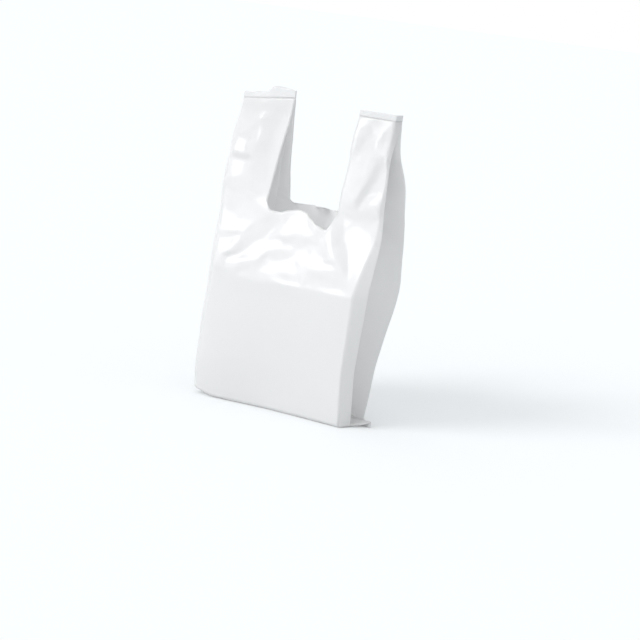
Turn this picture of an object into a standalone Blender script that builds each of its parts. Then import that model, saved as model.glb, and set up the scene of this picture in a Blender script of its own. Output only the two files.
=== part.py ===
"""Vest carrier bag of thin plastic film, opened out and standing on its base.

The bag is one gusseted film tube. It is sealed across the bottom, sealed across the tops of
the two handles, and a U-shaped mouth is punched out between them. Metres, +Z up, the front
panel towards -Y, origin on the ground under the middle of the bottom seal.
"""

import math
from dataclasses import dataclass

import bmesh
import bpy
from mathutils import Matrix, Vector

# The film as it lies flat
FLAT_WIDTH = 0.292
GUSSET_DEPTH = 0.0825
FILM_LENGTH = 0.559
HANDLE_WIDTH = 0.085
CUT_DEPTH = 0.180
CUT_RADIUS = 0.010
BOTTOM_SKIRT = 0.010
TOP_SKIRT = 0.009
WALL = 0.0006
LAYER_GAP = 0.0004
SEAL_COVER = 0.0004
SEAL_OVERLAP = 0.0008

# The shape that it is opened to
BASE_DEPTH = 0.092
SHOULDER_DEPTH = 0.150
MOUTH_DEPTH = 0.080
SHOULDER_FILM = 0.270
BEND_WIDTH = 0.023
BEND_ANGLE = math.radians(45)
BASE_BEND_WIDTH = 0.008
WEB_RISE = 0.034
BASE_RADIUS = 0.010
SHOULDER_RADIUS = 0.014
MOUTH_RADIUS = 0.030

# Where the film is crumpled
SLACK_START = 1.7
SLACK_FULL = 2.0
CRUMPLE_ROOM = 0.035
PANEL_FADE = 0.020
GUSSET_BUCKLE = 0.004
GUSSET_WAVES = 9

# Mesh density, in faces
MOUTH_FACES = 3
CUT_CORNER_FACES = 3
PANEL_FACES = 5
BEND_FACES = 1
GUSSET_FACES = 3
CREASE_FACES = 3
TUCK_FACES = 2
BASE_RING_COUNT = 2
ROUNDING_RING_COUNT = 3
WALL_RING_COUNT = 3
SHOULDER_RING_COUNT = 9
HANDLE_RING_COUNT = 11

FILM_COLOUR = (0.86, 0.87, 0.87, 1.0)
FILM_ROUGHNESS = 0.32

STATION_LENGTH = (FILM_LENGTH - BOTTOM_SKIRT - TOP_SKIRT) / 4
LAYER_PITCH = WALL + LAYER_GAP
FOLD_RADIUS = LAYER_PITCH / 2
PANEL_END = FLAT_WIDTH / 2 - BASE_BEND_WIDTH
HALF_WIDTH = FLAT_WIDTH / 2
MOUTH_HALF = HALF_WIDTH - HANDLE_WIDTH
MOUTH_FILM = FILM_LENGTH - BOTTOM_SKIRT - CUT_DEPTH
HANDLE_FILM = CUT_DEPTH - TOP_SKIRT


@dataclass
class Crumple:
    """A ridge or, with a negative height, a groove pressed into a panel of the film.

    Its ends are places across the panel, as shares of the half width, and up it, in stations.
    """

    start: tuple
    end: tuple
    height: float
    half_width: float

    def lift(self, across, t):
        """How far the ridge lifts one place on the panel."""
        place = Vector((across * HALF_WIDTH, t * STATION_LENGTH))
        first = Vector((self.start[0] * HALF_WIDTH, self.start[1] * STATION_LENGTH))
        run = Vector((self.end[0] * HALF_WIDTH, self.end[1] * STATION_LENGTH)) - first
        share = min(max((place - first).dot(run) / run.length_squared, 0), 1)
        distance = (place - first - run * share).length
        if distance > self.half_width:
            return 0
        return self.height * (1 - distance / self.half_width)


FRONT_CRUMPLES = (
    Crumple((-0.03, 2.76), (-0.68, 2.03), 0.006, 0.020),
    Crumple((0.02, 3.02), (0.15, 2.30), 0.008, 0.022),
    Crumple((0.15, 2.30), (0.58, 2.22), 0.005, 0.016),
    Crumple((0.15, 2.30), (-0.35, 2.12), 0.004, 0.016),
    Crumple((-0.20, 1.94), (0.83, 1.98), 0.002, 0.014),
    Crumple((0.40, 2.86), (0.66, 2.43), -0.006, 0.018),
    Crumple((0.66, 2.43), (0.80, 2.08), -0.004, 0.014),
    Crumple((0.50, 3.00), (0.92, 2.30), 0.004, 0.020),
    Crumple((-0.12, 2.52), (0.10, 2.62), -0.004, 0.016),
    Crumple((-0.90, 2.40), (-0.50, 2.52), -0.006, 0.018),
    Crumple((-0.92, 2.18), (-0.62, 2.26), 0.004, 0.016),
    Crumple((-0.88, 3.22), (-0.66, 3.36), 0.004, 0.016),
    Crumple((-0.88, 3.50), (-0.70, 3.62), 0.004, 0.014),
    Crumple((-0.64, 3.05), (-0.72, 3.95), -0.004, 0.018),
    Crumple((0.78, 3.52), (0.60, 3.18), -0.004, 0.014),
    Crumple((0.62, 3.92), (0.50, 3.62), -0.003, 0.014),
    Crumple((0.82, 3.85), (0.62, 3.40), 0.003, 0.014),
    Crumple((0.82, 3.28), (0.88, 3.14), 0.003, 0.014),
)
BACK_CRUMPLES = (
    Crumple((0.05, 2.92), (-0.18, 2.24), 0.007, 0.022),
    Crumple((-0.18, 2.24), (-0.80, 2.06), 0.005, 0.018),
    Crumple((-0.18, 2.24), (0.45, 2.14), 0.004, 0.018),
    Crumple((0.34, 2.94), (0.82, 2.06), 0.006, 0.022),
    Crumple((0.14, 2.62), (0.50, 2.36), -0.005, 0.018),
    Crumple((-0.40, 2.90), (-0.62, 2.34), -0.006, 0.020),
    Crumple((-0.56, 3.02), (-0.90, 2.36), 0.004, 0.018),
    Crumple((-0.30, 1.95), (0.70, 1.98), 0.002, 0.014),
    Crumple((0.88, 3.18), (0.62, 3.40), 0.004, 0.016),
    Crumple((0.68, 3.06), (0.74, 3.90), -0.004, 0.018),
    Crumple((-0.56, 3.20), (-0.84, 3.50), 0.004, 0.016),
    Crumple((-0.64, 3.56), (-0.80, 3.88), -0.003, 0.014),
)


@dataclass
class Section:
    """The front right quarter of one ring of film, from the front's middle to the gusset's."""

    middle: Vector
    mouth: Vector
    bend: Vector
    crease: Vector
    tuck: Vector

    def anchors(self):
        return (self.middle, self.mouth, self.bend, self.crease, self.tuck)


def sealed_section(height, fold_height):
    """Four layers of film lying flat on each other, a pitch apart, where they leave a seal."""
    crease_x = HALF_WIDTH - FOLD_RADIUS
    return Section(
        middle=Vector((0, -1.5 * LAYER_PITCH, height)),
        mouth=Vector((MOUTH_HALF, -1.5 * LAYER_PITCH, height)),
        bend=Vector((crease_x - BASE_BEND_WIDTH, -1.5 * LAYER_PITCH, height)),
        crease=Vector((crease_x, -LAYER_PITCH, (height + fold_height) / 2)),
        tuck=Vector((crease_x - GUSSET_DEPTH, 0, fold_height)),
    )


def opened_section(depth, height, bend_width, tuck_rise=0.0):
    """A ring held open: a flat front, a bend on to the side, and the gusset tucked inwards."""
    bend = Vector((HALF_WIDTH - bend_width, -depth / 2, height))
    crease = bend + Vector((math.cos(BEND_ANGLE), math.sin(BEND_ANGLE), 0)) * bend_width
    across = math.sqrt(GUSSET_DEPTH**2 - crease.y**2 - tuck_rise**2)
    return Section(
        middle=Vector((0, -depth / 2, height)),
        mouth=Vector((MOUTH_HALF, -depth / 2, height)),
        bend=bend,
        crease=crease,
        tuck=Vector((crease.x - across, 0, height + tuck_rise)),
    )


def rise(film, *depths):
    """How far a length of film climbs between two half depths."""
    return math.sqrt(film**2 - ((depths[1] - depths[0]) / 2) ** 2)


BASE_FILM = math.hypot(BASE_DEPTH / 2, BOTTOM_SKIRT)
SHOULDER_HEIGHT = rise(SHOULDER_FILM - BASE_FILM, BASE_DEPTH, SHOULDER_DEPTH)
MOUTH_HEIGHT = SHOULDER_HEIGHT + rise(MOUTH_FILM - SHOULDER_FILM, SHOULDER_DEPTH, MOUTH_DEPTH)
TOP_SEAL_HEIGHT = MOUTH_HEIGHT + rise(HANDLE_FILM, MOUTH_DEPTH, 0)

STATIONS = (
    sealed_section(BOTTOM_SKIRT, BOTTOM_SKIRT + LAYER_PITCH),
    opened_section(BASE_DEPTH, 0, BASE_BEND_WIDTH, tuck_rise=WEB_RISE),
    opened_section(SHOULDER_DEPTH, SHOULDER_HEIGHT, BEND_WIDTH),
    opened_section(MOUTH_DEPTH, MOUTH_HEIGHT, BASE_BEND_WIDTH),
    sealed_section(TOP_SEAL_HEIGHT, TOP_SEAL_HEIGHT),
)
SPANS = (
    BASE_FILM,
    SHOULDER_FILM - BASE_FILM,
    MOUTH_FILM - SHOULDER_FILM,
    HANDLE_FILM,
)
RADII = (0, BASE_RADIUS, SHOULDER_RADIUS, MOUTH_RADIUS, 0)
PATHS = tuple(zip(*(station.anchors() for station in STATIONS)))


def before(station):
    """Where the rounding at a station starts, counted in stations."""
    return station - RADII[station] / SPANS[station - 1]


def after(station):
    return station + RADII[station] / SPANS[station]


def along(points, t):
    """A point on the path through one anchor of every station, its corners rounded."""
    station = round(t)
    if 0 < station < len(points) - 1 and before(station) < t < after(station):
        start = points[station - 1].lerp(points[station], before(station) - station + 1)
        end = points[station].lerp(points[station + 1], after(station) - station)
        u = (t - before(station)) / (after(station) - before(station))
        return start.lerp(points[station], u).lerp(points[station].lerp(end, u), u)
    low = min(int(t), len(points) - 2)
    return points[low].lerp(points[low + 1], t - low)


def heading(points, t):
    """The direction of a path, up the film."""
    low, high = max(t - 0.002, 0), min(t + 0.002, len(points) - 1)
    return (along(points, high) - along(points, low)).normalized()


def square_to(vector, axis):
    return (vector - axis * vector.dot(axis)).normalized()


class Ring:
    """The film's quarter section at one place, with its two folds as round bends."""

    def __init__(self, t):
        middle, mouth, bend, crease, tuck = (along(path, t) for path in PATHS)
        self.axis = heading(PATHS[3], t)
        self.crease = crease
        self.front_normal = self.axis.cross(square_to(bend - crease, self.axis))
        side_normal = -self.axis.cross(square_to(tuck - crease, self.axis))
        across = self.axis.dot(self.front_normal.cross(side_normal))
        self.turn = math.atan2(across, self.front_normal.dot(side_normal)) % math.tau
        self.tuck = tuck
        tuck_axis = heading(PATHS[4], t)
        self.tuck_normal = -tuck_axis.cross(square_to(crease - tuck, tuck_axis))
        self.tuck_middle = tuck_axis.cross(Vector((0, 1, 0)))
        self.lines = {
            "mouth": (middle, mouth),
            "panel": (mouth, bend),
            "bend": (bend, self.crease_fold(0)),
            "gusset": (self.crease_fold(1), self.tuck_fold(0)),
        }

    def crease_fold(self, share):
        turned = Matrix.Rotation(self.turn * share, 3, self.axis) @ self.front_normal
        return self.crease + turned * FOLD_RADIUS

    def tuck_fold(self, share):
        return self.tuck + self.tuck_normal.slerp(self.tuck_middle, share) * FOLD_RADIUS

    def point(self, stretch, share):
        """A point of the smooth film, before it is crumpled."""
        if stretch == "crease":
            return self.crease_fold(share)
        if stretch == "tuck":
            return self.tuck_fold(share)
        start, end = self.lines[stretch]
        return start.lerp(end, share)


@dataclass
class Column:
    """One line of the mesh up the film: a stretch of the ring, and a share of that stretch."""

    stretch: str
    share: float
    cut_rise: float


def quarter_columns():
    """The columns from the middle of the front to the middle of the gusset."""
    columns = []
    corner_start = MOUTH_HALF - CUT_RADIUS
    for i in range(MOUTH_FACES):
        columns.append(Column("mouth", corner_start / MOUTH_HALF * i / MOUTH_FACES, 0))
    for i in range(CUT_CORNER_FACES):
        angle = math.pi / 2 * i / CUT_CORNER_FACES
        share = (corner_start + CUT_RADIUS * math.sin(angle)) / MOUTH_HALF
        columns.append(Column("mouth", share, CUT_RADIUS * (1 - math.cos(angle))))
    stretches = (
        ("panel", PANEL_FACES),
        ("bend", BEND_FACES),
        ("crease", CREASE_FACES),
        ("gusset", GUSSET_FACES),
    )
    for name, faces in stretches:
        for i in range(faces):
            columns.append(Column(name, i / faces, CUT_RADIUS))
    for i in range(TUCK_FACES + 1):
        columns.append(Column("tuck", i / TUCK_FACES, CUT_RADIUS))
    return columns


def steps(start, end, count):
    return [start + (end - start) * i / count for i in range(count)]


def body_rows(column):
    """Where the rings of the body cross one column, from the bottom seal to the mouth's edge."""
    rows = steps(0, before(1), BASE_RING_COUNT)
    rows += steps(before(1), after(1), ROUNDING_RING_COUNT)
    rows += steps(after(1), before(2), WALL_RING_COUNT)
    rows += steps(before(2), after(2), ROUNDING_RING_COUNT)
    edge = 3 + column.cut_rise / HANDLE_FILM
    return rows + steps(after(2), edge, SHOULDER_RING_COUNT) + [edge]


def handle_rows():
    start = 3 + CUT_RADIUS / HANDLE_FILM
    return steps(start, 4, HANDLE_RING_COUNT)[1:] + [4]


def crumpled(point, column, t, side, face):
    """Moves one point of the film by the ridges and grooves that cross it."""
    slack = min(max((t - SLACK_START) / (SLACK_FULL - SLACK_START), 0), 1)
    if column.stretch in ("mouth", "panel"):
        room = min(abs(point.y) / CRUMPLE_ROOM, 1) * min((PANEL_END - point.x) / PANEL_FADE, 1)
        ridges = FRONT_CRUMPLES if face > 0 else BACK_CRUMPLES
        across = side * point.x / HALF_WIDTH
        lifts = [ridge.lift(across, t) for ridge in ridges]
        lift = max(lifts + [0]) + min(lifts + [0])
        return point - Vector((0, lift * slack * room, 0))
    if column.stretch == "gusset":
        room = min(abs(point.y) / CRUMPLE_ROOM, 1) * math.sin(math.pi * column.share)
        wave = math.sin(GUSSET_WAVES * t + side + 2 * face)
        return point + Vector((0, GUSSET_BUCKLE * wave * slack * room, 0))
    return point


def ring_order(columns):
    """Every column round the whole ring, as an index in the quarter and two mirror signs."""
    last = len(columns) - 1
    order = [(i, 1, 1) for i in range(last + 1)]
    order += [(i, 1, -1) for i in range(last - 1, -1, -1)]
    order += [(i, -1, -1) for i in range(1, last + 1)]
    order += [(i, -1, 1) for i in range(last - 1, 0, -1)]
    return order


def film_points():
    """The film's middle surface as lines of points up it, in order round the ring."""
    columns = quarter_columns()
    mouth_columns = MOUTH_FACES + CUT_CORNER_FACES
    lines = []
    for index, side, face in ring_order(columns):
        column = columns[index]
        rows = body_rows(column)
        if index >= mouth_columns:
            rows = rows + handle_rows()
        line = []
        for t in rows:
            point = crumpled(Ring(t).point(column.stretch, column.share), column, t, side, face)
            line.append(Vector((point.x * side, point.y * face, point.z)))
        lines.append(line)
    return lines


def film_surface(lines, ground):
    """The film, open along the mouth, the handles' edges and the seals."""
    shell = bmesh.new()
    down = Vector((0, 0, ground))
    grid = [[shell.verts.new(point - down) for point in line] for line in lines]
    for left, right in zip(grid, grid[1:] + grid[:1]):
        for row in range(min(len(left), len(right)) - 1):
            shell.faces.new((left[row], right[row], right[row + 1], left[row + 1]))
    mesh = bpy.data.meshes.new("film")
    shell.to_mesh(mesh)
    shell.free()
    return mesh


def seal_band(name, low_x, high_x, low_z, high_z):
    """A strip in which the four layers of film are welded into one."""
    thickness = 3 * LAYER_PITCH + WALL + 2 * SEAL_COVER
    band = bmesh.new()
    bmesh.ops.create_cube(band, size=1)
    bmesh.ops.scale(band, vec=(high_x - low_x, thickness, high_z - low_z), verts=band.verts)
    centre = ((low_x + high_x) / 2, 0, (low_z + high_z) / 2)
    bmesh.ops.translate(band, vec=centre, verts=band.verts)
    mesh = bpy.data.meshes.new(name)
    band.to_mesh(mesh)
    band.free()
    return bpy.data.objects.new(name, mesh)


def film_material():
    material = bpy.data.materials.new("white_film")
    material.use_nodes = True
    shader = material.node_tree.nodes["Principled BSDF"]
    shader.inputs["Base Color"].default_value = FILM_COLOUR
    shader.inputs["Roughness"].default_value = FILM_ROUGHNESS
    return material


def main():
    for old in list(bpy.data.objects):
        bpy.data.objects.remove(old)
    parts = bpy.data.collections.new("carrier_bag")
    helpers = bpy.data.collections.new("seals")
    for collection in (parts, helpers):
        bpy.context.scene.collection.children.link(collection)

    lines = film_points()
    ground = min(point.z for line in lines for point in line) - WALL / 2
    bag = bpy.data.objects.new("carrier_bag", film_surface(lines, ground))
    parts.objects.link(bag)
    bag.data.materials.append(film_material())
    wall = bag.modifiers.new("wall", "SOLIDIFY")
    wall.thickness = WALL
    wall.offset = 0
    bag.modifiers.new("flat_faces", "TRIANGULATE")

    bottom = BOTTOM_SKIRT + LAYER_PITCH - ground
    top = TOP_SEAL_HEIGHT - ground
    bands = (
        seal_band("bottom_seal", -HALF_WIDTH, HALF_WIDTH, 0, bottom + SEAL_OVERLAP),
        seal_band("left_seal", -HALF_WIDTH, -MOUTH_HALF, top - SEAL_OVERLAP, top + TOP_SKIRT),
        seal_band("right_seal", MOUTH_HALF, HALF_WIDTH, top - SEAL_OVERLAP, top + TOP_SKIRT),
    )
    for band in bands:
        helpers.objects.link(band)
        band.hide_render = True
        band.display_type = "WIRE"
        weld = bag.modifiers.new(band.name, "BOOLEAN")
        weld.operation = "UNION"
        weld.object = band


main()
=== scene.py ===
"""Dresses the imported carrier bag: crumpled film, welded seals, finish, floor, lamps and camera.

The film follows the same flat cut and the same opened rings as the part's source. Here it is
thin, its crumples are a field of flat facets between drawn fold lines, and its edges curl.
"""

import logging
import math
from dataclasses import dataclass, replace
from enum import Enum

import bmesh
import bpy
from mathutils import Matrix, Quaternion, Vector, geometry, noise
from mathutils.bvhtree import BVHTree


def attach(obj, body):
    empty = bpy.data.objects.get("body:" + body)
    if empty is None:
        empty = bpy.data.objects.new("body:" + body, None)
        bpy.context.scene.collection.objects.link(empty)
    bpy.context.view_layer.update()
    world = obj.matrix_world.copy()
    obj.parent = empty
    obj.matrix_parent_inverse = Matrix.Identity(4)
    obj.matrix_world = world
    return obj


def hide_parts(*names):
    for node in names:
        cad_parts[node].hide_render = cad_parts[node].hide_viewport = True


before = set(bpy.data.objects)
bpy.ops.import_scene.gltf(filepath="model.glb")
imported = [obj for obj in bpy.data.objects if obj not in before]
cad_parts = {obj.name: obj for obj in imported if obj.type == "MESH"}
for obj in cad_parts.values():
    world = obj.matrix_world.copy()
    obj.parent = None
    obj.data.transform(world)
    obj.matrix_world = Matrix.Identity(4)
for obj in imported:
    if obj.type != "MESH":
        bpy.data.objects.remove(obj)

LOG = logging.getLogger("carrier_bag")
MM = 0.001

Place = tuple[float, float, float]
Span = tuple[float, float]
Colour = tuple[float, float, float, float]
# A ridge or valley drawn on a wall. Its places are millimetres right of the wall's middle, the
# station up the film, and millimetres outwards.
FoldLine = tuple[Place, ...]
# The anchors of one quarter ring: the wall's middle, mouth corner, bend, crease and tuck
Section = tuple[Vector, ...]
Source = float | Colour | bpy.types.NodeSocket
RIDGE_FALL = 1.6


def clamped(value: float) -> float:
    """A value kept between 0 and 1."""
    return min(max(value, 0), 1)


def eased(value: float, low: float, high: float) -> float:
    """How far a value has come from low to high, from 0 to 1, with soft ends."""
    share = clamped((value - low) / (high - low))
    return share * share * (3 - 2 * share)


def hump(value: float, rise: Span, fall: Span) -> float:
    """A height that eases up from 0 to 1 over one span and back down over the next."""
    return eased(value, *rise) * (1 - eased(value, *fall))


def creased(noise_value: float, top: float) -> float:
    """Turns soft noise into sharp ridges that stand up to a top."""
    return top - RIDGE_FALL * abs(noise_value)


class Panel(Enum):
    """The two broad walls of the bag, by the sign of their side of the middle."""

    FRONT = 1
    BACK = -1


class Stretch(Enum):
    """The stretches of film that make up one quarter of a ring."""

    MOUTH = "mouth"
    WALL = "wall"
    BEND = "bend"
    CREASE = "crease"
    GUSSET = "gusset"
    TUCK = "tuck"


@dataclass(frozen=True)
class FlatCut:
    """The film as it lies flat on the cutting table, in metres."""

    width: float = 0.292
    gusset: float = 0.0825
    length: float = 0.559
    handle: float = 0.085
    cut_depth: float = 0.180
    cut_radius: float = 0.010
    bottom_skirt: float = 0.010
    top_skirt: float = 0.009

    @property
    def half(self) -> float:
        """Half the flat width."""
        return self.width / 2

    @property
    def mouth_half(self) -> float:
        """Half the width of the mouth, between the handles."""
        return self.half - self.handle

    @property
    def mouth_film(self) -> float:
        """Film from the bottom seal up to the mouth's edge."""
        return self.length - self.bottom_skirt - self.cut_depth

    @property
    def handle_film(self) -> float:
        """Film from the mouth's edge up to a handle's seal."""
        return self.cut_depth - self.top_skirt


@dataclass(frozen=True)
class OpenShape:
    """What the flat cut is opened to: depths, bends and roundings, in metres."""

    base_depth: float = 0.092
    shoulder_depth: float = 0.150
    mouth_depth: float = 0.080
    shoulder_film: float = 0.270
    bend_width: float = 0.023
    bend_angle: float = math.radians(45)
    mouth_bend_width: float = 0.008
    base_bend_width: float = 0.008
    base_bend_angle: float = math.radians(45)
    web_rise: float = 0.034
    radii: tuple[float, ...] = (0.0, 0.010, 0.014, 0.030, 0.0)
    pitch: float = 0.0004
    open_fold: float = 0.0007
    film: float = 0.00022
    ground: float = 0.00134


@dataclass
class Column:
    """One line of the mesh up the film.

    Attributes:
        stretch: The stretch of the ring that it lies in.
        share: How far along that stretch it lies.
        film: Its distance from the wall's middle along the film.
        cut_rise: How far the punched corner lifts the mouth's edge there.
    """

    stretch: Stretch
    share: float
    film: float
    cut_rise: float


class OpenedTube:
    """The gusseted tube in its opened shape, before anything is crumpled."""

    HEADING_STEP = 0.002

    def __init__(self, cut: FlatCut, shape: OpenShape) -> None:
        """Works out the stations and the film between them.

        Args:
            cut: The flat film.
            shape: The depths that it is opened to.
        """
        self.cut, self.shape = cut, shape
        base_film = math.hypot(shape.base_depth / 2, cut.bottom_skirt)
        self.spans = (
            base_film,
            shape.shoulder_film - base_film,
            cut.mouth_film - shape.shoulder_film,
            cut.handle_film,
        )
        shoulder = self._rise(self.spans[1], shape.base_depth, shape.shoulder_depth)
        mouth = shoulder + self._rise(self.spans[2], shape.shoulder_depth, shape.mouth_depth)
        self.top = mouth + self._rise(self.spans[3], shape.mouth_depth, 0)
        sections = (
            self._sealed(cut.bottom_skirt, cut.bottom_skirt + shape.pitch),
            self._opened(
                shape.base_depth, 0, shape.base_bend_width, shape.base_bend_angle, shape.web_rise
            ),
            self._opened(shape.shoulder_depth, shoulder, shape.bend_width, shape.bend_angle),
            self._opened(shape.mouth_depth, mouth, shape.mouth_bend_width, shape.bend_angle),
            self._sealed(self.top, self.top),
        )
        self.paths = tuple(zip(*sections))

    @staticmethod
    def _rise(film: float, low_depth: float, high_depth: float) -> float:
        """How far a length of film climbs between two depths."""
        return math.sqrt(film**2 - ((high_depth - low_depth) / 2) ** 2)

    def _sealed(self, height: float, fold_height: float) -> Section:
        """Lays the four layers on each other where they leave a seal.

        Args:
            height: The height of the outer layers.
            fold_height: The height of the gusset's inner fold.

        Returns:
            The anchors.
        """
        cut, pitch = self.cut, self.shape.pitch
        crease = cut.half - pitch / 2
        bend = crease - self.shape.mouth_bend_width
        return (
            *(Vector((x, -1.5 * pitch, height)) for x in (0, cut.mouth_half, bend)),
            Vector((crease, -pitch, (height + fold_height) / 2)),
            Vector((crease - cut.gusset, 0, fold_height)),
        )

    def _opened(
        self, depth: float, height: float, width: float, angle: float, lift: float = 0.0
    ) -> Section:
        """Holds a ring open: flat walls, a bend towards the side, and the gusset tucked in.

        Args:
            depth: The ring's depth from front to back.
            height: Its height.
            width: The width of its bend.
            angle: How far the bend turns.
            lift: How far the tuck stands above the ring.

        Returns:
            The anchors.
        """
        bend = Vector((self.cut.half - width, -depth / 2, height))
        crease = bend + Vector((math.cos(angle), math.sin(angle), 0)) * width
        across = math.sqrt(self.cut.gusset**2 - crease.y**2 - lift**2)
        return (
            Vector((0, -depth / 2, height)),
            Vector((self.cut.mouth_half, -depth / 2, height)),
            bend,
            crease,
            Vector((crease.x - across, 0, height + lift)),
        )

    def film_at(self, station: float) -> float:
        """The length of film from the bottom seal up to a station."""
        low = min(int(station), len(self.spans) - 1)
        return sum(self.spans[:low]) + (station - low) * self.spans[low]

    def station_at(self, film: float) -> float:
        """Finds how far up the stations a length of film reaches.

        Args:
            film: The length from the bottom seal.

        Returns:
            The station.
        """
        for low, span in enumerate(self.spans):
            if film <= span or low == len(self.spans) - 1:
                return low + film / span
            film -= span
        return float(len(self.spans))

    def before(self, station: int) -> float:
        """Where the rounding at a station starts."""
        return station - self.shape.radii[station] / self.spans[station - 1]

    def after(self, station: int) -> float:
        """Where the rounding at a station ends."""
        return station + self.shape.radii[station] / self.spans[station]

    def along(self, points: tuple[Vector, ...], t: float) -> Vector:
        """Follows the path through one anchor of every station, its corners rounded.

        Args:
            points: The anchors.
            t: The station.

        Returns:
            The point on the path.
        """
        near = round(t)
        if 0 < near < len(points) - 1 and self.before(near) < t < self.after(near):
            start = points[near - 1].lerp(points[near], self.before(near) - near + 1)
            end = points[near].lerp(points[near + 1], self.after(near) - near)
            u = (t - self.before(near)) / (self.after(near) - self.before(near))
            return start.lerp(points[near], u).lerp(points[near].lerp(end, u), u)
        low = min(int(t), len(points) - 2)
        return points[low].lerp(points[low + 1], t - low)

    def heading(self, points: tuple[Vector, ...], t: float) -> Vector:
        """Finds the direction of a path, up the film.

        Args:
            points: The anchors that it goes through.
            t: The station.

        Returns:
            The direction, at length one.
        """
        low = max(t - self.HEADING_STEP, 0)
        high = min(t + self.HEADING_STEP, len(points) - 1)
        return (self.along(points, high) - self.along(points, low)).normalized()


class Ring:
    """One quarter of the tube at one height, with its crease and tuck as small round folds."""

    OPEN_DEPTH = 0.02

    def __init__(self, tube: OpenedTube, t: float) -> None:
        """Places the anchors and the folds' directions.

        Args:
            tube: The opened tube.
            t: The height, in stations.
        """
        self.middle, self.mouth, self.bend, self.crease, self.tuck = (
            tube.along(path, t) for path in tube.paths
        )
        shape = tube.shape
        spread = min(abs(self.middle.y) / self.OPEN_DEPTH, 1)
        self.radius = shape.pitch / 2 + (shape.open_fold - shape.pitch / 2) * spread
        self.axis = tube.heading(tube.paths[3], t)
        self.front_normal = self.axis.cross(self._square(self.bend - self.crease, self.axis))
        side_normal = -self.axis.cross(self._square(self.tuck - self.crease, self.axis))
        across = self.axis.dot(self.front_normal.cross(side_normal))
        self.turn = math.atan2(across, self.front_normal.dot(side_normal)) % math.tau
        tuck_axis = tube.heading(tube.paths[4], t)
        self.tuck_normal = -tuck_axis.cross(self._square(self.crease - self.tuck, tuck_axis))
        self.tuck_middle = tuck_axis.cross(Vector((0, 1, 0)))
        self.lines = {
            Stretch.MOUTH: (self.middle, self.mouth),
            Stretch.WALL: (self.mouth, self.bend),
            Stretch.BEND: (self.bend, self._crease_fold(0)),
            Stretch.GUSSET: (self._crease_fold(1), self._tuck_fold(0)),
        }

    @staticmethod
    def _square(vector: Vector, axis: Vector) -> Vector:
        """The part of a vector that is square to an axis, at length one."""
        return (vector - axis * vector.dot(axis)).normalized()

    def _crease_fold(self, share: float) -> Vector:
        """A point on the round crease between wall and gusset."""
        turned = Matrix.Rotation(self.turn * share, 3, self.axis) @ self.front_normal
        return self.crease + turned * self.radius

    def _tuck_fold(self, share: float) -> Vector:
        """A point on the round fold in the gusset's middle."""
        return self.tuck + self.tuck_normal.slerp(self.tuck_middle, share) * self.radius

    def point(self, column: Column) -> Vector:
        """Finds where a column of film crosses this ring.

        Args:
            column: The column.

        Returns:
            The point.
        """
        if column.stretch is Stretch.CREASE:
            return self._crease_fold(column.share)
        if column.stretch is Stretch.TUCK:
            return self._tuck_fold(column.share)
        start, end = self.lines[column.stretch]
        return start.lerp(end, column.share)


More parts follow.
